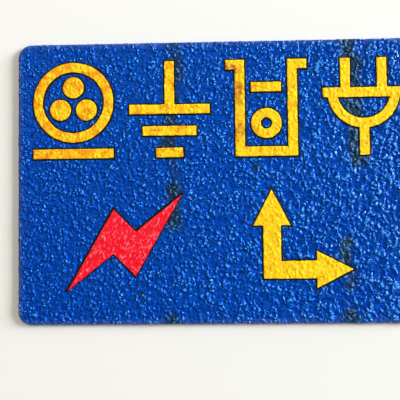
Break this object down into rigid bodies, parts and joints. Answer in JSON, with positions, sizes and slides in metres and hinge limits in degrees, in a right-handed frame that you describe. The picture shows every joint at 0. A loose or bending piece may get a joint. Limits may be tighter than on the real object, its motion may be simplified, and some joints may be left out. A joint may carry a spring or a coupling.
{
  "type": "cable route ground marker",
  "caption": "Rectangular ground marker plate with rounded corners and a gritty face, printed with a row of cable signs, a bolt and a right-angled route arrow.",
  "frame": {"origin": "middle of the flat underside", "axes": "+X along the plate's length, to the right as its face is read; +Y up the face; +Z out of the printed face"},
  "size_m": [0.15, 0.105, 0.0022],
  "materials": {
    "blue_plastic": "moulded grit with a worn semi-gloss surface",
    "black_print": "thin black paint",
    "yellow_print": "satin yellow paint, mottled with orange",
    "red_print": "satin red paint"
  },
  "bodies": {
    "root": {"plate": "blue_plastic", "keyline": "black_print", "cable_sign": "yellow_print", "earth_sign": "yellow_print", "trench_sign": "yellow_print", "plug_sign": "yellow_print", "bolt_sign": "red_print", "route_arrow": "yellow_print"}
  },
  "joints": []
}
